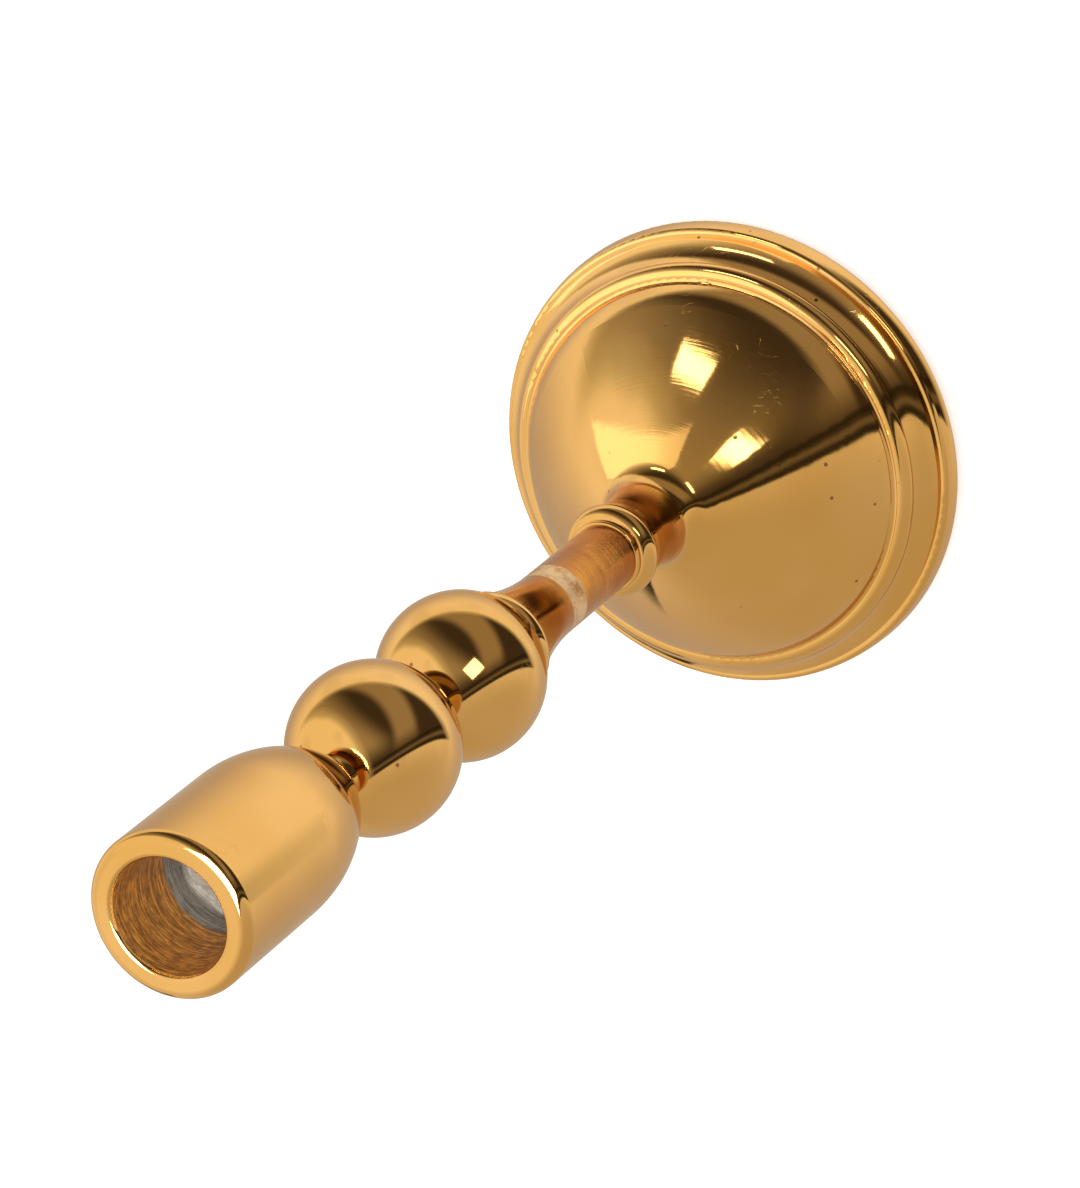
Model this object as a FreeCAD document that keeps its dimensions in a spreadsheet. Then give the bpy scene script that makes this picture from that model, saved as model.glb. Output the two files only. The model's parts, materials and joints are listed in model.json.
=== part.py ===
import FreeCAD, Part
import math
import os
import re
import Sketcher

# Altar candlestick: turned brass pieces stacked on one steel tie rod.
# +Z is up, the origin is the centre of the underside of the felt, and every length is in millimetres.

doc = FreeCAD.newDocument("altar_candlestick")

# ---------------------------------------------------------------- driving dimensions

SIZES = [
    # heights of the seams, from the table up
    ("total_height", 248.0),
    ("socket_bottom", 191.2),
    ("upper_ball_centre", 169.9),
    ("lower_ball_centre", 133.2),
    ("flare_top", 116.4),
    ("stem_top", 94.0),
    ("bead_top", 67.5),
    ("bead_centre", 63.4),
    ("bead_bottom", 59.3),
    ("neck_bottom", 48.1),
    # candle socket
    ("bore_radius", 11.2),
    ("bore_depth", 25.4),
    ("socket_radius", 15.9),
    ("socket_shoulder", 216.4),
    ("socket_end_radius", 7.8),
    ("lip_outer_round", 2.1),
    ("lip_inner_round", 0.9),
    ("floor_round", 1.5),
    ("tap_depth", 16.0),
    # balls and the rings between them
    ("ball_radius", 16.6),
    ("ball_flat_radius", 5.2),
    ("ring_waist", 0.4),
    # collar, flare and stem
    ("collar_radius", 11.2),
    ("collar_seat_gap", 0.05),
    ("collar_draw_in", 0.5),
    ("collar_side_arc", 2.8),
    ("flare_seat_margin", 0.4),
    ("flare_radius", 10.7),
    ("stem_radius", 7.05),
    ("register_radius", 5.2),
    ("register_depth", 3.0),
    ("register_gap", 0.1),
    # bead ring and neck
    ("bead_tube_radius", 2.85),
    ("bead_step_radius", 7.7),
    ("bead_foot_radius", 8.8),
    ("bead_crown_height", 0.5),
    ("bead_crown_arc", 0.65),
    ("bead_crown_margin", 0.1),
    ("neck_radius", 8.4),
    ("neck_foot_radius", 8.9),
    ("neck_straight", 3.5),
    ("neck_arc", 30.0),
    # foot
    ("foot_radius", 51.2),
    ("foot_rim_height", 0.8),
    ("rim_low_draw_in", 0.9),
    ("rim_low_arc", 1.4),
    ("rim_side_arc", 14.0),
    ("rim_high_draw_in", 0.5),
    ("rim_high_drop", 0.8),
    ("rim_high_arc", 1.2),
    ("band_top", 6.4),
    ("step_ledge", 0.5),
    ("step_radius", 48.9),
    ("step_height", 7.3),
    ("annulus_arc", 8.0),
    ("bead_line_radius", 45.2),
    ("bead_line_height", 11.6),
    ("bead_line_arc", 2.6),
    ("groove_radius", 42.1),
    ("groove_height", 14.6),
    ("groove_half_width", 0.6),
    ("groove_outer_drop", 0.1),
    ("groove_inner_rise", 0.7),
    ("groove_arc", 0.9),
    ("dome_edge_radius", 38.5),
    ("dome_edge_height", 20.3),
    ("dome_edge_arc", 14.8),
    ("dome_arc_radius", 126.0),
    ("cove_outer_radius", 12.25),
    ("cove_outer_height", 42.46),
    ("cove_arc_radius", 6.5),
    ("foot_wall", 3.0),
    ("ceiling_edge_inset", 2.6),
    ("ceiling_edge_drop", 1.6),
    ("ceiling_centre_inset", 1.2),
    ("boss_run_in", 1.0),
    ("boss_radius", 9.0),
    ("boss_bottom", 22.0),
    ("recess_radius", 48.6),
    ("recess_depth", 2.5),
    # rod, hardware and underside
    ("rod_radius", 3.0),
    ("rod_bottom", 12.0),
    ("rod_hole_radius", 3.3),
    ("rod_end_chamfer", 0.6),
    ("rod_tap_gap", 1.0),
    ("washer_radius", 9.0),
    ("washer_thickness", 1.6),
    ("washer_gap", 0.2),
    ("lock_washer_radius", 5.5),
    ("lock_washer_thickness", 1.6),
    ("lock_washer_slot", 1.2),
    ("lock_washer_gap", 0.1),
    ("nut_across_flats", 10.0),
    ("nut_height", 5.0),
    ("nut_chamfer", 0.5),
    ("nut_thread_gap", 0.02),
    ("nut_corner_margin", 0.1),
    ("plate_thickness", 1.2),
    ("plate_gap", 0.2),
    ("felt_radius", 47.6),
    ("felt_edge_round", 0.6),
]

NAMES = [alias for alias, value in SIZES]
ON_AXIS = 1e-9

sheet = doc.addObject("Spreadsheet::Sheet", "Sizes")
for row, (alias, value) in enumerate(SIZES, start=1):
    sheet.set("A%d" % row, alias)
    sheet.set("B%d" % row, str(value))
    sheet.setAlias("B%d" % row, alias)
doc.recompute()


def with_aliases(expression, spelled):
    """The expression with each alias in it spelled another way."""
    return re.sub(r"[a-z_]+", lambda word: spelled(word.group()) if word.group() in NAMES
                  else word.group(), expression)


def number(expression):
    """The value of an expression over the sheet's aliases, in millimetres."""
    values = with_aliases(expression, lambda alias: "(%r)" % getattr(sheet, alias))
    return float(FreeCAD.Units.parseQuantity(values.replace(" ", "")).Value)


def bound(expression):
    """The same expression, written against the spreadsheet."""
    return with_aliases(expression, lambda alias: "Sizes." + alias)


def origin_plane(body, role):
    return next(feature for feature in body.Origin.OriginFeatures if feature.Role == role)


# ---------------------------------------------------------------- turned pieces

def point_of(corner):
    return FreeCAD.Vector(number(corner[0]), number(corner[1]), 0)


def arc_centre(start, end, radius, side):
    """The centre of the arc from start to end that bulges to its left (1) or its right (-1)."""
    chord = end - start
    half = chord.Length / 2.0
    across = FreeCAD.Vector(-chord.y, chord.x, 0).normalize()
    to_centre = math.sqrt(max(radius * radius - half * half, 0.0))
    return (start + end) / 2.0 - across * (side * to_centre)


def bind_distance(sketch, kind, vertex, expression, axis):
    """Place one vertex, on the axis itself when its distance from it is nought."""
    value = number(expression)
    if abs(value) < ON_AXIS:
        sketch.addConstraint(Sketcher.Constraint("PointOnObject", vertex[0], vertex[1], axis))
        return
    index = sketch.addConstraint(Sketcher.Constraint(kind, -1, 1, vertex[0], vertex[1], value))
    sketch.setExpression("Constraints[%d]" % index, bound(expression))


def turned(label, corners):
    """A revolved body. Each corner is (radius, height) and, where an arc leads on to the next
    corner, the arc's radius and the side that it bulges to."""
    body = doc.addObject("PartDesign::Body", label)
    body.Label = label
    sketch = body.newObject("Sketcher::SketchObject", label + "_profile")
    sketch.AttachmentSupport = [(origin_plane(body, "XZ_Plane"), "")]
    sketch.MapMode = "FlatFace"
    arcs = []
    for index, corner in enumerate(corners):
        start, end = point_of(corner), point_of(corners[(index + 1) % len(corners)])
        if len(corner) == 2:
            sketch.addGeometry(Part.LineSegment(start, end))
            arcs.append(None)
            continue
        radius, side = number(corner[2]), corner[3]
        centre = arc_centre(start, end, radius, side)
        first = math.atan2(start.y - centre.y, start.x - centre.x)
        last = math.atan2(end.y - centre.y, end.x - centre.x)
        clockwise = side > 0
        if clockwise:
            first, last = last, first
        circle = Part.Circle(centre, FreeCAD.Vector(0, 0, 1), radius)
        sketch.addGeometry(Part.ArcOfCircle(circle, first, last))
        arcs.append((corner[2], clockwise))
    count = len(corners)

    def ends(index):
        clockwise = arcs[index] is not None and arcs[index][1]
        return (2, 1) if clockwise else (1, 2)

    for index, corner in enumerate(corners):
        following = (index + 1) % count
        sketch.addConstraint(Sketcher.Constraint(
            "Coincident", index, ends(index)[1], following, ends(following)[0]))
        vertex = (index, ends(index)[0])
        bind_distance(sketch, "DistanceX", vertex, corner[0], -2)
        bind_distance(sketch, "DistanceY", vertex, corner[1], -1)
        if arcs[index] is not None:
            radius_at = sketch.addConstraint(
                Sketcher.Constraint("Radius", index, number(corner[2])))
            sketch.setExpression("Constraints[%d]" % radius_at, bound(corner[2]))
    turning = body.newObject("PartDesign::Revolution", label + "_turning")
    turning.Profile = sketch
    turning.ReferenceAxis = (sketch, ["V_Axis"])
    turning.Angle = 360.0
    sketch.Visibility = False
    doc.recompute()
    return body


def candle_socket():
    lip = "total_height - lip_outer_round"
    floor = "total_height - bore_depth"
    drop = "(socket_shoulder - socket_bottom)"
    draw_in = "(socket_radius - socket_end_radius)"
    return turned("candle_socket", [
        ("rod_radius", "socket_bottom"),
        ("socket_end_radius", "socket_bottom",
         "(%s * %s + %s * %s) / (2 * %s)" % (drop, drop, draw_in, draw_in, draw_in), -1),
        ("socket_radius", "socket_shoulder"),
        ("socket_radius", lip, "lip_outer_round", -1),
        ("socket_radius - lip_outer_round", "total_height"),
        ("bore_radius + lip_inner_round", "total_height", "lip_inner_round", -1),
        ("bore_radius", "total_height - lip_inner_round"),
        ("bore_radius", floor + " + floor_round", "floor_round", 1),
        ("bore_radius - floor_round", floor),
        ("0", floor),
        ("0", "socket_bottom + tap_depth"),
        ("rod_radius", "socket_bottom + tap_depth"),
    ])


BALL_RISE = "sqrt(ball_radius * ball_radius - ball_flat_radius * ball_flat_radius)"
BALL_FOOT = "lower_ball_centre - " + BALL_RISE


def pierced_ball(label, centre):
    """A sphere with a small flat top and bottom, drilled through for the rod."""
    bottom = "%s - %s" % (centre, BALL_RISE)
    top = "%s + %s" % (centre, BALL_RISE)
    return turned(label, [
        ("rod_hole_radius", bottom),
        ("ball_flat_radius", bottom, "ball_radius", -1),
        ("ball_radius", centre, "ball_radius", -1),
        ("ball_flat_radius", top),
        ("rod_hole_radius", top),
    ])


def waisted_ring(label, low, high):
    """A short ring with a hollow waist that keeps two larger pieces apart."""
    height = "(%s - (%s))" % (high, low)
    arc = "(%s * %s / 4 + ring_waist * ring_waist) / (2 * ring_waist)" % (height, height)
    return turned(label, [
        ("rod_hole_radius", low),
        ("ball_flat_radius", low, arc, 1),
        ("ball_flat_radius", high),
        ("rod_hole_radius", high),
    ])


def flare_collar():
    """A thin ring with a hollow seat in its top that the lower ball rests in."""
    seat = "(ball_radius + collar_seat_gap)"
    inner = "(ball_flat_radius + collar_seat_gap)"
    lip = "(collar_radius - collar_draw_in)"
    return turned("flare_collar", [
        (inner, "flare_top"),
        (lip, "flare_top", "collar_side_arc", -1),
        (lip, "lower_ball_centre - sqrt(%s * %s - %s * %s)" % (seat, seat, lip, lip), seat, 1),
        (inner, "lower_ball_centre - sqrt(%s * %s - %s * %s)" % (seat, seat, inner, inner)),
    ])


def trumpet_flare():
    """The trumpet under the lower ball, hollowed at its foot to take the stem's register."""
    fall = "(flare_top - stem_top)"
    spread = "(flare_radius - stem_radius)"
    return turned("trumpet_flare", [
        ("register_radius", "stem_top"),
        ("stem_radius", "stem_top",
         "(%s * %s + %s * %s) / (2 * %s)" % (fall, fall, spread, spread, spread), 1),
        ("flare_radius", "flare_top"),
        ("ball_flat_radius - flare_seat_margin", "flare_top"),
        ("ball_flat_radius - flare_seat_margin", BALL_FOOT),
        ("rod_hole_radius", BALL_FOOT),
        ("rod_hole_radius", "stem_top + register_depth"),
        ("register_radius", "stem_top + register_depth"),
    ])


def stem_tube():
    spigot = "(register_radius - register_gap)"
    return turned("stem_tube", [
        ("rod_hole_radius", "bead_top"),
        ("stem_radius", "bead_top"),
        ("stem_radius", "stem_top"),
        (spigot, "stem_top"),
        (spigot, "stem_top + register_depth - register_gap"),
        ("rod_hole_radius", "stem_top + register_depth - register_gap"),
    ])


def bead_ring():
    """A half-round bead between two narrow steps."""
    return turned("bead_ring", [
        ("rod_hole_radius", "bead_bottom"),
        ("bead_foot_radius", "bead_bottom"),
        ("bead_foot_radius", "bead_centre - bead_tube_radius"),
        ("stem_radius", "bead_centre - bead_tube_radius", "bead_tube_radius", -1),
        ("stem_radius + bead_tube_radius", "bead_centre", "bead_tube_radius", -1),
        ("stem_radius", "bead_centre + bead_tube_radius"),
        ("bead_step_radius", "bead_centre + bead_tube_radius"),
        ("bead_step_radius", "bead_top - bead_crown_height", "bead_crown_arc", -1),
        ("stem_radius + bead_crown_margin", "bead_top"),
        ("rod_hole_radius", "bead_top"),
    ])


def base_neck():
    return turned("base_neck", [
        ("rod_hole_radius", "neck_bottom"),
        ("neck_foot_radius", "neck_bottom", "neck_arc", 1),
        ("neck_radius", "bead_bottom - neck_straight"),
        ("neck_radius", "bead_bottom"),
        ("rod_hole_radius", "bead_bottom"),
    ])


def foot():
    """The foot: a domed shell with a moulded rim, a boss for the rod and a recess for its plate."""
    rim = "foot_rim_height"
    recess_top = rim + " + recess_depth"
    ceiling_rim = "recess_radius - ceiling_edge_inset"
    ceiling_top = "cove_outer_height - foot_wall"
    return turned("foot", [
        ("foot_radius - rim_low_draw_in", rim, "rim_low_arc", -1),
        ("foot_radius", rim + " + rim_low_arc", "rim_side_arc", -1),
        ("foot_radius - rim_high_draw_in", "band_top - rim_high_drop", "rim_high_arc", -1),
        ("step_radius + step_ledge", "band_top"),
        ("step_radius", "band_top"),
        ("step_radius", "step_height", "annulus_arc", 1),
        ("bead_line_radius", "bead_line_height", "bead_line_arc", -1),
        ("groove_radius + groove_half_width", "groove_height - groove_outer_drop", "groove_arc", 1),
        ("groove_radius - groove_half_width", "groove_height + groove_inner_rise",
         "dome_edge_arc", -1),
        ("dome_edge_radius", "dome_edge_height", "dome_arc_radius", -1),
        ("cove_outer_radius", "cove_outer_height", "cove_arc_radius", 1),
        ("neck_foot_radius", "neck_bottom"),
        ("rod_hole_radius", "neck_bottom"),
        ("rod_hole_radius", "boss_bottom"),
        ("boss_radius", "boss_bottom"),
        ("boss_radius", ceiling_top + " + boss_run_in"),
        ("cove_outer_radius - ceiling_centre_inset", ceiling_top, "dome_arc_radius - foot_wall", 1),
        ("groove_radius - ceiling_edge_inset", "groove_height - ceiling_edge_drop"),
        (ceiling_rim, "band_top"),
        (ceiling_rim, recess_top),
        ("recess_radius", recess_top),
        ("recess_radius", rim),
    ])


# ---------------------------------------------------------------- rod and hardware

def tie_rod():
    top = "socket_bottom + tap_depth - rod_tap_gap"
    return turned("tie_rod", [
        ("0", "rod_bottom"),
        ("rod_radius - rod_end_chamfer", "rod_bottom"),
        ("rod_radius", "rod_bottom + rod_end_chamfer"),
        ("rod_radius", top + " - rod_end_chamfer"),
        ("rod_radius - rod_end_chamfer", top),
        ("0", top),
    ])


def foot_washer():
    return turned("foot_washer", [
        ("rod_radius + washer_gap", "boss_bottom - washer_thickness"),
        ("washer_radius", "boss_bottom - washer_thickness"),
        ("washer_radius", "boss_bottom"),
        ("rod_radius + washer_gap", "boss_bottom"),
    ])


def primitive(kind, name, placed_at, **sizes):
    """A Part primitive whose sizes and height are bound to the sheet."""
    solid = doc.addObject(kind, name)
    for key, expression in sizes.items():
        solid.setExpression(key, bound(expression))
    solid.setExpression("Placement.Base.z", bound(placed_at))
    return solid


def cut_from(label, base, tool):
    cut = doc.addObject("Part::Cut", label)
    cut.Label = label
    cut.Base = base
    cut.Tool = tool
    doc.recompute()
    return cut


def lock_washer():
    """A spring washer: a flat ring with one narrow slot."""
    low = "boss_bottom - washer_thickness - lock_washer_thickness"
    ring = primitive("Part::Cylinder", "lock_washer_disc", low,
                     Radius="lock_washer_radius", Height="lock_washer_thickness")
    hole = primitive("Part::Cylinder", "lock_washer_hole", low,
                     Radius="rod_radius + lock_washer_gap", Height="lock_washer_thickness")
    slot = primitive("Part::Box", "lock_washer_slit", low,
                     Length="lock_washer_radius + lock_washer_slot", Width="lock_washer_slot",
                     Height="lock_washer_thickness")
    slot.setExpression("Placement.Base.y", bound("0 - lock_washer_slot / 2"))
    return cut_from("lock_washer", cut_from("lock_washer_ring", ring, hole), slot)


def hex_nut():
    """A plain nut, its corners taken off by a cone top and bottom."""
    low = "boss_bottom - washer_thickness - lock_washer_thickness - nut_height"
    corner = "nut_across_flats / sqrt(3)"
    bore = "rod_radius + nut_thread_gap"
    prism = doc.addObject("Part::Prism", "nut_prism")
    prism.Polygon = 6
    prism.setExpression("Circumradius", bound(corner))
    prism.setExpression("Height", bound("nut_height"))
    prism.setExpression("Placement.Base.z", bound(low))
    turned_blank = turned("nut_blank", [
        (bore, low),
        (corner + " - nut_chamfer", low),
        (corner + " + nut_corner_margin", low + " + nut_chamfer"),
        (corner + " + nut_corner_margin", low + " + nut_height - nut_chamfer"),
        (corner + " - nut_chamfer", low + " + nut_height"),
        (bore, low + " + nut_height"),
    ])
    nut = doc.addObject("Part::Common", "hex_nut")
    nut.Base = prism
    nut.Tool = turned_blank
    doc.recompute()
    return nut


# ---------------------------------------------------------------- underside

PLATE_BOTTOM = "foot_rim_height + recess_depth - plate_thickness"


def bottom_plate():
    """A thin painted disc that closes the foot's recess."""
    plate = primitive("Part::Cylinder", "bottom_plate", PLATE_BOTTOM,
                      Radius="recess_radius - plate_gap", Height="plate_thickness")
    doc.recompute()
    return plate


def felt_pad():
    """The disc that the candlestick stands on, glued to the plate."""
    return turned("felt_pad", [
        ("0", "0"),
        ("felt_radius - felt_edge_round", "0", "felt_edge_round", -1),
        ("felt_radius", "felt_edge_round"),
        ("felt_radius", PLATE_BOTTOM),
        ("0", PLATE_BOTTOM),
    ])


# ---------------------------------------------------------------- assembly, checks and export

pieces = [
    candle_socket(),
    waisted_ring("socket_ring", "upper_ball_centre + " + BALL_RISE, "socket_bottom"),
    pierced_ball("upper_ball", "upper_ball_centre"),
    waisted_ring("ball_ring", "lower_ball_centre + " + BALL_RISE, "upper_ball_centre - " + BALL_RISE),
    pierced_ball("lower_ball", "lower_ball_centre"),
    flare_collar(),
    trumpet_flare(),
    stem_tube(),
    bead_ring(),
    base_neck(),
    foot(),
    tie_rod(),
    foot_washer(),
    lock_washer(),
    hex_nut(),
    bottom_plate(),
    felt_pad(),
]

doc.recompute()
for item in doc.Objects:
    if "Invalid" in item.State or "Error" in item.State:
        raise RuntimeError("%s failed: %s" % (item.Name, item.State))

os.makedirs("parts", exist_ok=True)
for piece in pieces:
    shape = piece.Shape
    if shape.isNull() or not shape.isValid() or len(shape.Solids) != 1:
        raise RuntimeError("%s has no single valid solid" % piece.Label)
    box = shape.BoundBox
    print("%-15s volume %9.1f  z %7.2f to %7.2f  radius %6.2f"
          % (piece.Label, shape.Volume, box.ZMin, box.ZMax, box.XMax))
    shape.exportStep("parts/%s.step" % piece.Label)
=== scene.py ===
import bmesh
import bpy
import json
import math
import random
from mathutils import Matrix, Vector


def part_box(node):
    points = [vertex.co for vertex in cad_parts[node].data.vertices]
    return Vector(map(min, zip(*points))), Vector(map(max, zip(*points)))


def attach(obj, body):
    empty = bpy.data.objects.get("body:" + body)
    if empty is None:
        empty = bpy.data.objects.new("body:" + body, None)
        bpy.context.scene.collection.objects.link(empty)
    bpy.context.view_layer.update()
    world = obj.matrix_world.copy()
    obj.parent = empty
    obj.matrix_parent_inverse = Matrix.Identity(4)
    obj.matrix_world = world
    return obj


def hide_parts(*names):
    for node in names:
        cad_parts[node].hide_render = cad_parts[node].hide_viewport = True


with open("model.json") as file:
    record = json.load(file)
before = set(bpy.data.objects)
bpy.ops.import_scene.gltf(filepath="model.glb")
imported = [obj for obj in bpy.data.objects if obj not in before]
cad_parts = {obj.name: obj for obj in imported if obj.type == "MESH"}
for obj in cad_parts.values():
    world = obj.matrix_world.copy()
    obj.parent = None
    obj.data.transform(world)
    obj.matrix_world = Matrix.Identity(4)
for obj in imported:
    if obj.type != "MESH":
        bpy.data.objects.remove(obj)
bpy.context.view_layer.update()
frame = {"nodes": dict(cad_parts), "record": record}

# ---------------------------------------------------------------- places taken from the frame

MM = 0.001
STEM_SPIGOT = 2.9 * MM          # the end of the stem that stands inside the flare
BORE_DEPTH = 25.4 * MM
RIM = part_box("candle_socket")[1].z
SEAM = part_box("stem_tube")[1].z - STEM_SPIGOT       # where the flare stands on the stem
MOUNTS = {mount["name"]: mount for mount in frame["record"]["mounts"]}
BORE_RADIUS = MOUNTS["candle_bore"]["dims"]["r_mm"] * MM

# ---------------------------------------------------------------- camera

FOCAL = 5000.0                  # focal length, in units of which the picture is 1080 wide
PICTURE_WIDTH = 1080.0
SENSOR = 36.0
CLIP_START = 0.01
ELEVATION = math.radians(56.6)
ROLL = math.radians(-129.35)
AIM_HEIGHT = RIM - 2.5 * MM     # a point on the axis just inside the lip
AIM_IN_CAMERA = Vector((-62.92, -54.83, -860.0)) * MM


def camera_axes():
    """The camera's right, up and back directions, in the frame of the CAD."""
    right = Vector((1, 0, 0))
    up = Vector((0, math.sin(ELEVATION), math.cos(ELEVATION)))
    back = Vector((0, -math.cos(ELEVATION), math.sin(ELEVATION)))
    turned_right = right * math.cos(ROLL) + up * math.sin(ROLL)
    turned_up = up * math.cos(ROLL) - right * math.sin(ROLL)
    return turned_right, turned_up, back


RIGHT, UP, BACK = camera_axes()


def in_camera(right, up, back):
    """A direction given along the camera's right, up and back, in the frame of the CAD."""
    return (RIGHT * right + UP * up + BACK * back).normalized()


def add_camera():
    data = bpy.data.cameras.new("camera")
    data.sensor_fit = "HORIZONTAL"
    data.sensor_width = SENSOR
    data.lens = FOCAL / PICTURE_WIDTH * SENSOR
    data.clip_start = CLIP_START
    camera = bpy.data.objects.new("camera", data)
    turn = Matrix((RIGHT, UP, BACK)).transposed()
    place = Vector((0, 0, AIM_HEIGHT)) - turn @ AIM_IN_CAMERA
    camera.matrix_world = Matrix.Translation(place) @ turn.to_4x4()
    bpy.context.scene.collection.objects.link(camera)
    bpy.context.scene.camera = camera


# ---------------------------------------------------------------- node helpers

class Graph:
    """A short way to write a node tree."""

    def __init__(self, tree):
        self.tree = tree
        tree.nodes.clear()

    def add(self, kind, inputs=None, **settings):
        node = self.tree.nodes.new(kind)
        for key, value in settings.items():
            setattr(node, key, value)
        for key, value in (inputs or {}).items():
            self.set(node.inputs[key], value)
        return node

    def set(self, socket, value):
        if isinstance(value, bpy.types.NodeSocket):
            self.tree.links.new(value, socket)
        elif isinstance(value, bpy.types.Node):
            self.tree.links.new(value.outputs[0], socket)
        else:
            socket.default_value = value

    def math(self, operation, *values):
        node = self.add("ShaderNodeMath", operation=operation)
        for index, value in enumerate(values):
            self.set(node.inputs[index], value)
        return node.outputs[0]

    def scaled(self, value, weight):
        return self.math("MULTIPLY", value, weight)

    def total(self, base, *layers):
        """The base with each layer added to it. A layer is a value and its weight."""
        for value, weight in layers:
            base = self.math("ADD", base, self.scaled(value, weight))
        return base

    def step(self, value, low, high):
        """Nought at low, one at high, and smooth between. low may be the greater of the two."""
        node = self.add("ShaderNodeMapRange", interpolation_type="SMOOTHSTEP",
                        inputs={"Value": value, "From Min": low, "From Max": high})
        return node.outputs["Result"]

    def band(self, value, low, high, edge):
        """One between low and high and nought outside them, with soft edges."""
        rise = self.step(value, low - edge, low + edge)
        fall = self.step(value, high + edge, high - edge)
        return self.math("MULTIPLY", rise, fall)

    def mix(self, share, first, second):
        node = self.add("ShaderNodeMix", data_type="RGBA")
        colour_sockets = {0: share, 6: first, 7: second}
        for index, value in colour_sockets.items():
            self.set(node.inputs[index], value)
        return node.outputs[2]

    def noise(self, place, fineness, detail=3.0, roughness=0.55, distortion=0.0):
        node = self.add("ShaderNodeTexNoise", inputs={
            "Vector": place, "Scale": fineness, "Detail": detail,
            "Roughness": roughness, "Distortion": distortion})
        return node.outputs["Fac"]

    def cells(self, place, fineness):
        """The distance to the nearest of many scattered points."""
        node = self.add("ShaderNodeTexVoronoi", feature="F1", inputs={
            "Vector": place, "Scale": fineness, "Randomness": 1.0})
        return node.outputs["Distance"]

    def turned(self, place, turn, scale):
        mapping = self.add("ShaderNodeMapping", inputs={
            "Vector": place, "Rotation": turn, "Scale": scale})
        return mapping.outputs["Vector"]

    def dot(self, place, direction):
        node = self.add("ShaderNodeVectorMath", operation="DOT_PRODUCT")
        self.set(node.inputs[0], place)
        node.inputs[1].default_value = direction
        return node.outputs["Value"]


def new_material(name):
    material = bpy.data.materials.new(name)
    material.use_nodes = True
    return material, Graph(material.node_tree)


def object_place(graph):
    return graph.add("ShaderNodeTexCoord").outputs["Object"]


def radius_and_height(graph, place):
    split = graph.add("ShaderNodeSeparateXYZ", inputs={"Vector": place})
    square = graph.math("ADD", graph.math("POWER", split.outputs["X"], 2.0),
                        graph.math("POWER", split.outputs["Y"], 2.0))
    return graph.math("SQRT", square), split.outputs["Z"]


def lathe_place(graph, radius, height, across):
    """A place that is the same all the way round the axis, so that a pattern on it makes rings."""
    return graph.add("ShaderNodeCombineXYZ", inputs={"X": graph.scaled(radius, across), "Z": height})


def add_shader(graph, colour, rough, relief, bump, metallic=1.0):
    """The shader that ends a material. bump is the strength and height of the relief."""
    strength, height = bump
    normal = graph.add("ShaderNodeBump", inputs={"Strength": strength, "Distance": height, "Height": relief})
    shader = graph.add("ShaderNodeBsdfPrincipled", inputs={
        "Base Color": colour, "Roughness": rough, "Metallic": metallic, "Normal": normal})
    graph.add("ShaderNodeOutputMaterial", inputs={"Surface": shader})
    return shader


# ---------------------------------------------------------------- what the brass finishes share
# A pattern's FINENESS is how many of its features fit in a metre, about. An EDGE is the two values that a
# pattern passes between as its mark fades in. SHARE, ROUGH and RELIEF say how much a mark changes the colour,
# the roughness and the bump.

GOLD = (0.69, 0.375, 0.095, 1.0)
GOLD_PALE = (0.75, 0.43, 0.135, 1.0)
TARNISH = (0.24, 0.12, 0.04, 1.0)
NICK_BROWN = (0.05, 0.025, 0.010, 1.0)

CLOUD_FINENESS = 28.0
CLOUD_EDGE = (0.35, 0.70)
HAZE_FINENESS = 340.0
WAVE_FINENESS = 45.0

SCRATCH_DRAWN = 0.035           # how far the scratches are drawn out: their width over their length
SCRATCH_EDGE = (0.006, 0.0)
SCRATCH_PATCHES = 0.12          # the patches' fineness over the scratches' own
SCRATCH_PATCH_FADE = 0.02
FIRST_SCRATCHES = {"fineness": 420.0, "turn": (0.4, 0.9, 0.2), "share": 0.36}

NICK_TURN = (0.5, 0.2, 0.9)
NICK_DRAWN = 0.13
NICK_FINENESS = 130.0
NICK_EDGE = (0.060, 0.035)
NICK_PATCH_FINENESS = 75.0
NICK_PATCH_EDGE = (0.60, 0.63)

PLATING_ROUGH = 0.055
HAZE_ROUGH = 0.035
SCRATCH_ROUGH = 0.16
WAVE_RELIEF = 0.30
SCRATCH_RELIEF = -0.03
PLATING_BUMP = (0.35, 0.4 * MM)


def clouded_gold(graph, place):
    clouds = graph.noise(place, CLOUD_FINENESS, detail=2.0)
    return graph.mix(graph.step(clouds, *CLOUD_EDGE), GOLD, GOLD_PALE)


def plating_haze(graph, place):
    return graph.noise(place, HAZE_FINENESS, detail=5.0, roughness=0.7)


def plating_waves(graph, place):
    return graph.scaled(graph.noise(place, WAVE_FINENESS, detail=1.5), WAVE_RELIEF)


def scratches(graph, place, fineness, turn, share):
    """Thin lines in patches: the middle contour of a noise that is drawn out one way."""
    drawn = graph.turned(place, turn, (1.0, SCRATCH_DRAWN, 1.0))
    lines = graph.noise(drawn, fineness, detail=2.0, distortion=0.15)
    ridge = graph.math("ABSOLUTE", graph.math("SUBTRACT", lines, 0.5))
    patches = graph.noise(place, fineness * SCRATCH_PATCHES, detail=1.0)
    scratched = graph.step(patches, 1.0 - share, 1.0 + SCRATCH_PATCH_FADE - share)
    return graph.math("MULTIPLY", graph.step(ridge, *SCRATCH_EDGE), scratched)


def crossed_scratches(graph, place, second):
    """Scratches in two directions. The second set is given."""
    return graph.math("MAXIMUM", scratches(graph, place, **FIRST_SCRATCHES),
                      scratches(graph, place, **second))


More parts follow.
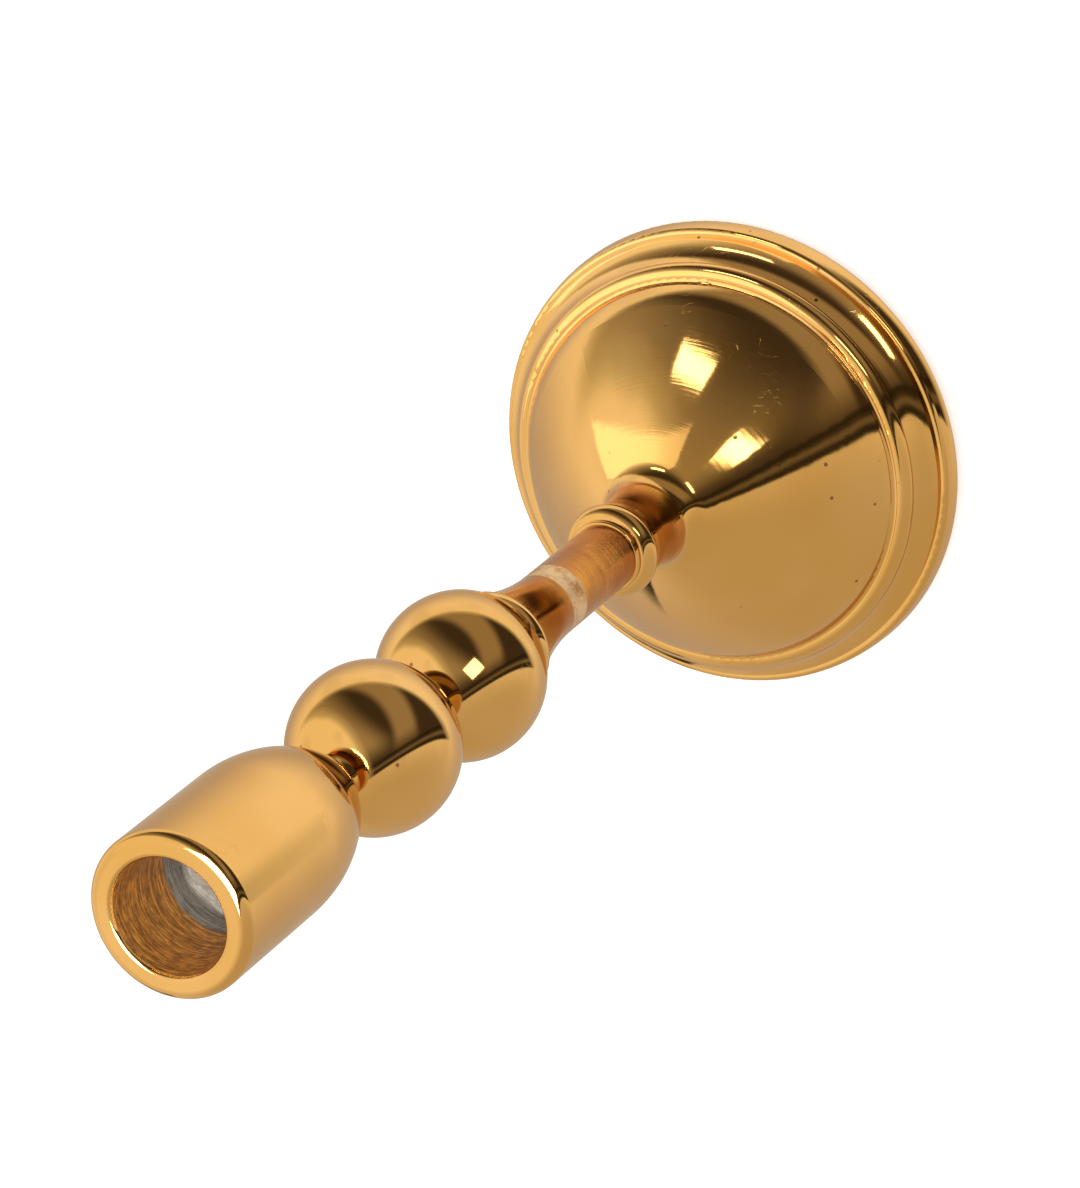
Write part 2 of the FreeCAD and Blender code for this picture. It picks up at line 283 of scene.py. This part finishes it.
def nick_marks(graph, place):
    """Short dark nicks, few and far between, where the lacquer has been chipped."""
    drawn = graph.turned(place, NICK_TURN, (1.0, NICK_DRAWN, 1.0))
    core = graph.step(graph.cells(drawn, NICK_FINENESS), *NICK_EDGE)
    chosen = graph.step(graph.noise(place, NICK_PATCH_FINENESS, detail=0.0), *NICK_PATCH_EDGE)
    return graph.math("MULTIPLY", core, chosen)


# ---------------------------------------------------------------- polished brass

STAIN_FINENESS = 95.0
STAIN_EDGE = (0.66, 0.80)
STAIN_SHARE = 0.22

PIT_FINENESS = 210.0
PIT_EDGE = (0.11, 0.06)
PIT_PATCH_FINENESS = 60.0
PIT_PATCH_EDGE = (0.54, 0.60)
PIT_SHARE = 0.85
PIT_ROUGH = 0.25
PIT_RELIEF = -0.10

NICK_SHARE = 0.9
NICK_ROUGH = 0.30

SECOND_SCRATCHES = {"fineness": 330.0, "turn": (1.2, 0.3, 1.9), "share": 0.34}
SPUN_ACROSS = 0.4
SPUN_FINENESS = 3200.0
SPUN_RELIEF = 0.05


def polished_brass(name, turning=0.0):
    """Lacquered gold-toned brass. turning is how strongly the lathe's rings show."""
    material, graph = new_material(name)
    place = object_place(graph)

    stains = graph.step(graph.noise(place, STAIN_FINENESS, detail=4.0, roughness=0.7), *STAIN_EDGE)
    specks = graph.step(graph.cells(place, PIT_FINENESS), *PIT_EDGE)
    speckled = graph.step(graph.noise(place, PIT_PATCH_FINENESS, detail=1.0), *PIT_PATCH_EDGE)
    pits = graph.math("MULTIPLY", specks, speckled)
    nicks = nick_marks(graph, place)
    marks = crossed_scratches(graph, place, SECOND_SCRATCHES)

    colour = clouded_gold(graph, place)
    for flaw, share, tone in ((stains, STAIN_SHARE, TARNISH), (pits, PIT_SHARE, TARNISH),
                              (nicks, NICK_SHARE, NICK_BROWN)):
        colour = graph.mix(graph.scaled(flaw, share), colour, tone)

    rough = graph.total(PLATING_ROUGH, (plating_haze(graph, place), HAZE_ROUGH), (nicks, NICK_ROUGH),
                        (marks, SCRATCH_ROUGH), (pits, PIT_ROUGH))
    relief = graph.total(plating_waves(graph, place), (marks, SCRATCH_RELIEF), (pits, PIT_RELIEF))
    if turning:
        rings = lathe_place(graph, *radius_and_height(graph, place), SPUN_ACROSS)
        fine = graph.noise(rings, SPUN_FINENESS, detail=2.0, roughness=0.8)
        relief = graph.total(relief, (fine, turning))
    add_shader(graph, colour, rough, relief, PLATING_BUMP)
    return material


# ---------------------------------------------------------------- brass of the stem

COPPER = (0.44, 0.155, 0.020, 1.0)
AMBER = (0.60, 0.25, 0.036, 1.0)
FROST = (0.84, 0.60, 0.33, 1.0)

FROST_BELOW = 3.2 * MM          # how far the frosted band reaches below the seam, and above it
FROST_ABOVE = 3.0 * MM
FROST_FADE = 0.35 * MM
POLISH_FADE = (3.4 * MM, 4.4 * MM)      # above the seam, where the turned finish gives way to a polish

TURNED_ACROSS = 0.3
TURNED_FINENESS = 3400.0
MOTTLE_FINENESS = 120.0
MOTTLE_EDGE = (0.3, 0.75)
BROKEN_FINENESS = 320.0
FROST_EDGE = (0.26, 0.60)
WORN_EDGE = (0.50, 0.66)
WORN_SHARE = 0.18

STEM_ROUGH = 0.065
WORN_ROUGH = 0.07
TURNED_ROUGH = 0.05
FROST_ROUGH = 0.24
POLISH_ROUGH = -0.05
TURNED_RELIEF = 0.10
MOTTLE_RELIEF = 0.18
STEM_BUMP = (0.5, 0.3 * MM)


def stem_brass():
    """Brass left nearer to the lathe's finish, with a frosted band at the seam under the flare."""
    material, graph = new_material("stem_brass")
    place = object_place(graph)
    radius, height = radius_and_height(graph, place)
    rings = lathe_place(graph, radius, height, TURNED_ACROSS)
    fine = graph.noise(rings, TURNED_FINENESS, detail=3.0, roughness=0.85)
    mottle = graph.noise(place, MOTTLE_FINENESS, detail=3.0, roughness=0.6)
    broken = graph.noise(place, BROKEN_FINENESS, detail=4.0, roughness=0.75)

    frost = graph.band(height, SEAM - FROST_BELOW, SEAM + FROST_ABOVE, FROST_FADE)
    worn = graph.step(graph.total(graph.scaled(fine, 0.5), (broken, 0.5)), *WORN_EDGE)
    polished = graph.step(height, *(SEAM + rise for rise in POLISH_FADE))

    colour = graph.mix(graph.step(mottle, *MOTTLE_EDGE), COPPER, AMBER)
    colour = graph.mix(graph.scaled(worn, WORN_SHARE), colour, GOLD)
    frosty = graph.math("MULTIPLY", frost, graph.step(broken, *FROST_EDGE))
    colour = graph.mix(frosty, colour, FROST)

    rough = graph.total(STEM_ROUGH, (worn, WORN_ROUGH), (fine, TURNED_ROUGH), (frost, FROST_ROUGH),
                        (polished, POLISH_ROUGH))
    relief = graph.total(graph.scaled(fine, TURNED_RELIEF), (mottle, MOTTLE_RELIEF))
    add_shader(graph, colour, rough, relief, STEM_BUMP)
    return material


# ---------------------------------------------------------------- brass of the cup

WALL_DARK = (0.15, 0.050, 0.008, 1.0)
WALL_LIGHT = (0.74, 0.32, 0.055, 1.0)
# The groove tone is painted shade in the bore's turned grooves. The glint tones, for the wall and for the
# bare metal, are painted highlights on the rings.
WALL_PAINTED_GROOVE_SHADE = (0.16, 0.06, 0.014, 1.0)
WALL_PAINTED_HIGHLIGHT = (0.98, 0.66, 0.32, 1.0)
BARE_DARK = (0.075, 0.065, 0.050, 1.0)
BARE_GREY = (0.27, 0.245, 0.20, 1.0)
BARE_PAINTED_HIGHLIGHT = (0.42, 0.39, 0.33, 1.0)

BORE_SIDE_FADE = (0.45 * MM, 0.15 * MM)     # outside the bore's radius
BORE_TOP = 0.7 * MM                         # the inside finish runs between these depths
BORE_BOTTOM = BORE_DEPTH + 0.5 * MM
BORE_END_FADE = 0.2 * MM
BARE_FADE = (7.2 * MM, 6.0 * MM)            # above the bore's floor
BARE_RAGGED = 3.6 * MM                      # how far two patterns move that edge up and down
BARE_BLOTCHED = 3.0 * MM

SOCKET_SCRATCHES = {"fineness": 300.0, "turn": (1.1, 0.2, 2.0), "share": 0.34}
BORING_ACROSS = 1.0
BORING_FINENESS = 1300.0
# Where on the rings the painted groove shade and the painted highlights fall, and how strongly.
PAINTED_GROOVE_SHADE_EDGE = (0.52, 0.40)
PAINTED_GROOVE_SHADE_SHARE = 0.6
PAINTED_HIGHLIGHT_EDGE = (0.60, 0.72)
PAINTED_HIGHLIGHT_SHARE = 0.7
NO_TURN = (0.0, 0.0, 0.0)
STREAK_DRAWN = 0.16
STREAK_FINENESS = 1900.0
STREAK_PART = 0.7
GRIT_FINENESS = 420.0
GRIT_PART = 0.3
BLOTCH_FINENESS = 150.0
WALL_EDGE = (0.35, 0.68)
BARE_EDGE = (0.3, 0.7)
# The edge and share of the painted highlights on the bare metal's rings.
BARE_PAINTED_HIGHLIGHT_EDGE = (0.55, 0.72)
BARE_PAINTED_HIGHLIGHT_SHARE = 0.5

INSIDE_ROUGH = 0.28
BARE_ROUGH = 0.26
GRAIN_ROUGH = 0.16
INSIDE_METALLIC = -0.55                     # the inside is duller than plated metal
BORING_RELIEF = 1.3
GRAIN_RELIEF = 1.5


def bore_wall(graph, grain, rings):
    """Dark and light copper tones, with painted shade in a few grooves and painted highlights round the bore.
    """
    wall = graph.mix(graph.step(grain, *WALL_EDGE), WALL_DARK, WALL_LIGHT)
    wall = graph.mix(graph.scaled(graph.step(rings, *PAINTED_GROOVE_SHADE_EDGE), PAINTED_GROOVE_SHADE_SHARE), wall, WALL_PAINTED_GROOVE_SHADE)
    return graph.mix(graph.scaled(graph.step(rings, *PAINTED_HIGHLIGHT_EDGE), PAINTED_HIGHLIGHT_SHARE), wall, WALL_PAINTED_HIGHLIGHT)


def bare_metal(graph, grain, rings):
    grey = graph.mix(graph.step(grain, *BARE_EDGE), BARE_DARK, BARE_GREY)
    # Grey bare metal, with painted highlights along the turned rings.
    painted_highlight = graph.scaled(graph.step(rings, *BARE_PAINTED_HIGHLIGHT_EDGE), BARE_PAINTED_HIGHLIGHT_SHARE)
    return graph.mix(painted_highlight, grey, BARE_PAINTED_HIGHLIGHT)


def socket_brass():
    """The cup: polished outside, turned inside, and bare grey metal where plating never reached."""
    material, graph = new_material("socket_brass")
    place = object_place(graph)
    radius, height = radius_and_height(graph, place)
    depth = graph.math("SUBTRACT", RIM, height)
    in_bore = graph.step(radius, *(BORE_RADIUS + margin for margin in BORE_SIDE_FADE))
    inside = graph.math("MULTIPLY", in_bore, graph.band(depth, BORE_TOP, BORE_BOTTOM, BORE_END_FADE))

    rings = graph.noise(lathe_place(graph, radius, height, BORING_ACROSS), BORING_FINENESS,
                        detail=3.0, roughness=0.8)
    drawn = graph.turned(place, NO_TURN, (STREAK_DRAWN, STREAK_DRAWN, 1.0))
    streaks = graph.noise(drawn, STREAK_FINENESS, detail=4.0, roughness=0.75)
    grit = graph.noise(place, GRIT_FINENESS, detail=5.0, roughness=0.75)
    grain = graph.total(graph.scaled(streaks, STREAK_PART), (grit, GRIT_PART))
    blotch = graph.noise(place, BLOTCH_FINENESS, detail=3.0, roughness=0.6)
    ragged = graph.total(depth, (graph.math("SUBTRACT", grain, 0.5), BARE_RAGGED),
                         (graph.math("SUBTRACT", blotch, 0.5), BARE_BLOTCHED))
    bare = graph.step(ragged, *(BORE_DEPTH - rise for rise in BARE_FADE))

    # The inside colour holds painted shade in the grooves and painted highlights on the rings.
    inner = graph.mix(bare, bore_wall(graph, grain, rings), bare_metal(graph, grain, rings))
    colour = graph.mix(inside, clouded_gold(graph, place), inner)

    marks = crossed_scratches(graph, place, SOCKET_SCRATCHES)
    rough_inside = graph.total(INSIDE_ROUGH, (bare, BARE_ROUGH), (grain, GRAIN_ROUGH))
    rough = graph.total(PLATING_ROUGH, (plating_haze(graph, place), HAZE_ROUGH), (marks, SCRATCH_ROUGH),
                        (inside, rough_inside))
    cuts = graph.total(graph.scaled(rings, BORING_RELIEF), (grain, GRAIN_RELIEF))
    relief = graph.total(plating_waves(graph, place), (marks, SCRATCH_RELIEF), (inside, cuts))
    metallic = graph.total(1.0, (inside, INSIDE_METALLIC))
    add_shader(graph, colour, rough, relief, PLATING_BUMP, metallic)
    return material


# ---------------------------------------------------------------- steel, paint and felt

STEEL_DARK = (0.42, 0.41, 0.39, 1.0)
STEEL_LIGHT = (0.62, 0.61, 0.58, 1.0)
STEEL_ROUGH = 0.24
STEEL_BUMP = (0.25, 0.2 * MM)
SPANGLE_FINENESS = 500.0
SPANGLE_EDGE = (0.3, 0.7)
SPANGLE_ROUGH = 0.2

PAINT_DARK = (0.012, 0.011, 0.010, 1.0)
PAINT_LIGHT = (0.030, 0.027, 0.024, 1.0)
PAINT_ROUGH = 0.42
PAINT_BUMP = (0.2, 0.1 * MM)
SPECKLE_FINENESS = 900.0
SPECKLE_ROUGH = 0.2

FELT_DARK = (0.010, 0.040, 0.018, 1.0)
FELT_LIGHT = (0.045, 0.135, 0.065, 1.0)
FELT_ROUGH = 0.95
FELT_SHEEN = 0.5
FELT_SHEEN_ROUGH = 0.4
FELT_BUMP = (0.9, 0.5 * MM)
FIBRE_FINENESS = 1500.0
FIBRE_PART = 0.65
CLUMP_FINENESS = 240.0
CLUMP_PART = 0.35
NAP_EDGE = (0.32, 0.68)


def zinc_steel():
    material, graph = new_material("zinc_steel")
    spangle = graph.noise(object_place(graph), SPANGLE_FINENESS, detail=4.0, roughness=0.7)
    colour = graph.mix(graph.step(spangle, *SPANGLE_EDGE), STEEL_DARK, STEEL_LIGHT)
    rough = graph.total(STEEL_ROUGH, (spangle, SPANGLE_ROUGH))
    add_shader(graph, colour, rough, spangle, STEEL_BUMP)
    return material


def dark_paint():
    material, graph = new_material("dark_paint")
    speckle = graph.noise(object_place(graph), SPECKLE_FINENESS, detail=3.0)
    colour = graph.mix(speckle, PAINT_DARK, PAINT_LIGHT)
    rough = graph.total(PAINT_ROUGH, (speckle, SPECKLE_ROUGH))
    add_shader(graph, colour, rough, speckle, PAINT_BUMP, metallic=0.0)
    return material


def green_felt():
    material, graph = new_material("green_felt")
    place = object_place(graph)
    fibres = graph.noise(place, FIBRE_FINENESS, detail=6.0, roughness=0.8, distortion=1.6)
    clumps = graph.noise(place, CLUMP_FINENESS, detail=4.0, roughness=0.65)
    nap = graph.total(graph.scaled(fibres, FIBRE_PART), (clumps, CLUMP_PART))
    colour = graph.mix(graph.step(nap, *NAP_EDGE), FELT_DARK, FELT_LIGHT)
    shader = add_shader(graph, colour, FELT_ROUGH, nap, FELT_BUMP, metallic=0.0)
    shader.inputs["Sheen Weight"].default_value = FELT_SHEEN
    shader.inputs["Sheen Roughness"].default_value = FELT_SHEEN_ROUGH
    return material


# ---------------------------------------------------------------- the felt underside

FELT_TRIM = 0.1 * MM            # left free inside the pad's box
FELT_CORNERS = 240
FELT_RINGS_BELOW = 40
FELT_RINGS_ABOVE = 10
RIPPLE_SEED = 7
RIPPLE_COUNT = 9
RIPPLE_WAVES = (3, 40)
RIPPLE_MM = (0.02, 0.06)
RIPPLE_FADE = 8                 # the power of the radius by which the ripples die away inwards
DIMPLE_DEPTH = 0.12 * MM
DIMPLE_WAVES = 61.0
DIMPLE_END = 0.97


def felt_rim():
    """Gives a function for how far the cut edge strays from round at an angle."""
    draw = random.Random(RIPPLE_SEED)
    ripples = [(draw.randint(*RIPPLE_WAVES), draw.uniform(0, 2 * math.pi), draw.uniform(*RIPPLE_MM) * MM)
               for _ in range(RIPPLE_COUNT)]
    return lambda angle: sum(size * math.sin(count * angle + phase) for count, phase, size in ripples)


def felt_dimple(share):
    """How far the underside is hollowed, at a share of the radius."""
    return DIMPLE_DEPTH * (0.5 + 0.5 * math.sin(share * DIMPLE_WAVES)) * (share < DIMPLE_END)


def felt_profile(bottom, top):
    """The felt's half section as shares of the radius and heights: the underside, the cut edge, the top."""
    below = [index / FELT_RINGS_BELOW for index in range(1, FELT_RINGS_BELOW)]
    above = [index / FELT_RINGS_ABOVE for index in range(FELT_RINGS_ABOVE - 1, 0, -1)]
    cut_edge = [(0.995, bottom + 0.12 * MM), (1.0, bottom + 0.6 * MM), (1.0, top - 0.1 * MM), (0.996, top)]
    return ([(share, bottom + felt_dimple(share)) for share in below] + cut_edge
            + [(share, top) for share in above])


def felt_disc():
    """A punched felt disc, a little uneven at its cut edge and over its face."""
    low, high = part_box("felt_pad")
    radius = high.x - FELT_TRIM
    stray = felt_rim()
    mesh = bpy.data.meshes.new("felt_underside")
    build = bmesh.new()

    def ring(share, height):
        corners = []
        for index in range(FELT_CORNERS):
            angle = 2 * math.pi * index / FELT_CORNERS
            reach = min(radius * share + stray(angle) * share ** RIPPLE_FADE, radius)
            corners.append(build.verts.new((reach * math.cos(angle), reach * math.sin(angle), height)))
        return corners

    loops = [ring(share, height) for share, height in felt_profile(low.z, high.z)]
    for first, second in zip(loops, loops[1:]):
        for index in range(FELT_CORNERS):
            following = (index + 1) % FELT_CORNERS
            build.faces.new((first[index], first[following], second[following], second[index]))
    for loop, height in ((loops[0], low.z), (loops[-1], high.z)):
        hub = build.verts.new((0, 0, height))
        for index in range(FELT_CORNERS):
            build.faces.new((hub, loop[index], loop[(index + 1) % FELT_CORNERS]))
    bmesh.ops.recalc_face_normals(build, faces=build.faces)
    build.to_mesh(mesh)
    build.free()
    mesh.shade_smooth()
    felt = bpy.data.objects.new("felt_underside", mesh)
    bpy.context.scene.collection.objects.link(felt)
    felt.data.materials.append(green_felt())
    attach(felt, "root")
    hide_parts("felt_pad")


# ---------------------------------------------------------------- finishes on the CAD nodes

def dress_all():
    finishes = (
        (polished_brass("polished_brass"), ("upper_ball", "lower_ball", "flare_collar", "bead_ring")),
        (polished_brass("spun_brass", turning=SPUN_RELIEF), ("socket_ring", "ball_ring", "foot")),
        (stem_brass(), ("trumpet_flare", "stem_tube", "base_neck")),
        (socket_brass(), ("candle_socket",)),
        (zinc_steel(), ("tie_rod", "foot_washer", "lock_washer", "hex_nut")),
        (dark_paint(), ("bottom_plate",)),
    )
    for material, nodes in finishes:
        for node in nodes:
            mesh = frame["nodes"][node].data
            mesh.materials.clear()
            mesh.materials.append(material)


# ---------------------------------------------------------------- floor

FLOOR_HALF = 6.0
FLOOR_WHITE = (0.90, 0.90, 0.90, 1.0)
FLOOR_ROUGH = 0.9
FLOOR_SPECULAR = 0.1
FLOOR_LIGHT = (1.0, 1.0, 1.0, 1.0)
FLOOR_GLOW = 0.62


def add_floor():
    """A pale floor that gives off some light of its own and doesn't show in the brass."""
    mesh = bpy.data.meshes.new("floor")
    build = bmesh.new()
    bmesh.ops.create_grid(build, x_segments=1, y_segments=1, size=FLOOR_HALF)
    build.to_mesh(mesh)
    build.free()
    floor = bpy.data.objects.new("floor", mesh)
    bpy.context.scene.collection.objects.link(floor)
    floor.visible_glossy = False
    material, graph = new_material("pale_floor")
    shader = graph.add("ShaderNodeBsdfPrincipled", inputs={
        "Base Color": FLOOR_WHITE, "Roughness": FLOOR_ROUGH, "Specular IOR Level": FLOOR_SPECULAR,
        "Emission Color": FLOOR_LIGHT, "Emission Strength": FLOOR_GLOW})
    graph.add("ShaderNodeOutputMaterial", inputs={"Surface": shader})
    mesh.materials.append(material)


# ---------------------------------------------------------------- tent
# What the brass reflects: a white tent, open on one side to a dim room. Planes part one region from the
# next. A direction's dot product with a plane's normal passes between the two values of a FADE as one region
# gives way to the other.

TABLE_NORMAL = in_camera(-0.55, 0.83, 0.05)
TABLE_FADE = (-0.455, -0.435)
AHEAD_NORMAL = in_camera(0.0, -0.34, 0.94)
AHEAD_FADE = (-0.48, -0.34)
BESIDE_NORMAL = in_camera(0.80, 0.35, -0.30)
BESIDE_FADE = (-0.64, -0.40)
FRINGE_STRENGTH = 1.8
FRINGE_GREEN = (0.42, 0.52, 0.36, 1.0)

ROOM_DARK = (0.062, 0.050, 0.045, 1.0)
ROOM_GLOW = (0.46, 0.42, 0.37, 1.0)
GLOW_NORMAL = in_camera(0.55, 0.80, -0.05)
GLOW_FADE = (0.55, -0.02)
GLOW_TABLE_FADE = (-0.30, 0.25)
WALL_PALE = (0.40, 0.355, 0.30, 1.0)
WALL_NORMAL = in_camera(-0.69, 0.02, 0.72)
WALL_HALF = 0.27
WALL_SOFT = 0.11
WALL_TABLE_FADE = (-0.36, 0.05)
STRIPES = ((-0.45, -0.395, 0.020), (-0.375, -0.33, 0.22), (-0.30, -0.25, 0.025))    # from, to, tone
STRIPE_TINT = (1.0, 0.92, 0.8)
STRIPE_SOFT = 0.012
STRIPE_SHARE = 0.85

TENT_WHITE = (1.22, 1.20, 1.18, 1.0)
TENT_BEHIND = (0.56, 0.48, 0.38, 1.0)
BEHIND_FADE = (-0.35, -0.98)
TENT_LOW = (0.60, 0.55, 0.50, 1.0)
LOW_NORMAL = in_camera(0.50, -0.85, 0.05)
LOW_FADE = (0.05, 0.85)
LOW_SHARE = 0.85
TENT_CLOUD = (0.70, 0.64, 0.56, 1.0)
TENT_CLOUD_SCALE = 1.6
TENT_CLOUD_EDGE = (0.46, 0.62)
TENT_CLOUD_SHARE = 0.25


def room_colour(graph, towards, edge):
    """The dim room: a glow, one paler wall, and stripes along the table's edge."""
    glow = graph.math("MULTIPLY", graph.step(graph.dot(towards, GLOW_NORMAL), *GLOW_FADE),
                      graph.step(edge, *GLOW_TABLE_FADE))
    room = graph.mix(glow, ROOM_DARK, ROOM_GLOW)
    wall = graph.band(graph.dot(towards, WALL_NORMAL), -WALL_HALF, WALL_HALF, WALL_SOFT)
    room = graph.mix(graph.math("MULTIPLY", wall, graph.step(edge, *WALL_TABLE_FADE)), room, WALL_PALE)
    for low, high, tone in STRIPES:
        stripe = graph.band(edge, low, high, STRIPE_SOFT)
        colour = (*(tone * tint for tint in STRIPE_TINT), 1.0)
        room = graph.mix(graph.scaled(stripe, STRIPE_SHARE), room, colour)
    return room


def tent_colour(graph, towards):
    """White cloth, dimmer behind the object and low down, with broad faint clouds."""
    tent = graph.mix(graph.step(graph.dot(towards, BACK), *BEHIND_FADE), TENT_WHITE, TENT_BEHIND)
    low = graph.step(graph.dot(towards, LOW_NORMAL), *LOW_FADE)
    tent = graph.mix(graph.scaled(low, LOW_SHARE), tent, TENT_LOW)
    clouds = graph.step(graph.noise(towards, TENT_CLOUD_SCALE, detail=1.0), *TENT_CLOUD_EDGE)
    return graph.mix(graph.scaled(clouds, TENT_CLOUD_SHARE), tent, TENT_CLOUD)


def add_world():
    world = bpy.data.worlds.new("tent")
    bpy.context.scene.world = world
    world.use_nodes = True
    graph = Graph(world.node_tree)
    towards = graph.add("ShaderNodeTexCoord").outputs["Generated"]
    edge = graph.dot(towards, TABLE_NORMAL)
    past_table = graph.step(edge, *TABLE_FADE)
    ahead = graph.step(graph.dot(towards, AHEAD_NORMAL), *AHEAD_FADE)
    beside = graph.step(graph.dot(towards, BESIDE_NORMAL), *BESIDE_FADE)
    opening = graph.math("MULTIPLY", ahead, beside)

    halfway = graph.math("MULTIPLY", opening, graph.math("SUBTRACT", 1.0, opening))
    fringe = graph.math("MULTIPLY", graph.scaled(halfway, FRINGE_STRENGTH), past_table)
    tent = graph.mix(fringe, tent_colour(graph, towards), FRINGE_GREEN)
    room = room_colour(graph, towards, edge)
    colour = graph.mix(graph.math("MULTIPLY", opening, past_table), tent, room)
    background = graph.add("ShaderNodeBackground", inputs={"Color": colour, "Strength": 1.0})
    graph.add("ShaderNodeOutputWorld", inputs={"Surface": background})


# ---------------------------------------------------------------- lamps

LAMP_AIM = Vector((0, 0, 0.10))
FAR = 1.6
NEAR = 0.62
OVER_MOUTH = 0.75


def add_panel(name, direction, along, size, power, receivers, distance=FAR):
    """A soft rectangular lamp, its first side lying along one way, for the named nodes alone."""
    data = bpy.data.lights.new(name, "AREA")
    data.shape = "RECTANGLE"
    data.size, data.size_y = size
    data.energy = power
    lamp = bpy.data.objects.new(name, data)
    away = direction.normalized()
    across = away.cross(along).normalized()
    turn = Matrix((across.cross(away), across, away)).transposed()
    lamp.matrix_world = Matrix.Translation(LAMP_AIM + away * distance) @ turn.to_4x4()
    bpy.context.scene.collection.objects.link(lamp)
    group = bpy.data.collections.new(name + "_receivers")
    for node in receivers:
        group.objects.link(frame["nodes"][node])
    lamp.light_linking.receiver_collection = group


def add_lights():
    """Two windows seen in the foot, one in a ball, a lamp over the mouth and a card seen in the foot."""
    stem = ["bead_ring", "base_neck", "stem_tube", "trumpet_flare", "flare_collar"]
    add_panel("window_high", in_camera(-0.41, 0.69, 0.59), along=in_camera(0.69, -0.20, 0.69),
              size=(0.60, 0.17), power=1.9, receivers=["foot"])
    add_panel("window_low", in_camera(0.18, 0.13, 0.975), along=in_camera(0.72, -0.69, -0.05),
              size=(0.45, 0.20), power=1.9, receivers=["foot"] + stem)
    add_panel("window_ball", in_camera(0.29, 0.17, 0.94), along=in_camera(0.70, 0.70, -0.10),
              size=(0.62, 0.50), power=5.0, receivers=["lower_ball"])
    add_panel("bore_fill", Vector((0.0, -0.30, 0.95)), along=Vector((1.0, 0.0, 0.0)),
              size=(0.50, 0.50), power=12.5, receivers=["candle_socket"], distance=OVER_MOUTH)
    add_panel("card_left", in_camera(-0.87, 0.165, 0.46), along=in_camera(0.48, 0.165, 0.86),
              size=(1.1, 0.50), power=1.45, receivers=["foot"], distance=NEAR)


add_camera()
felt_disc()
dress_all()
add_floor()
add_world()
add_lights()
bpy.context.scene.view_settings.view_transform = "Standard"
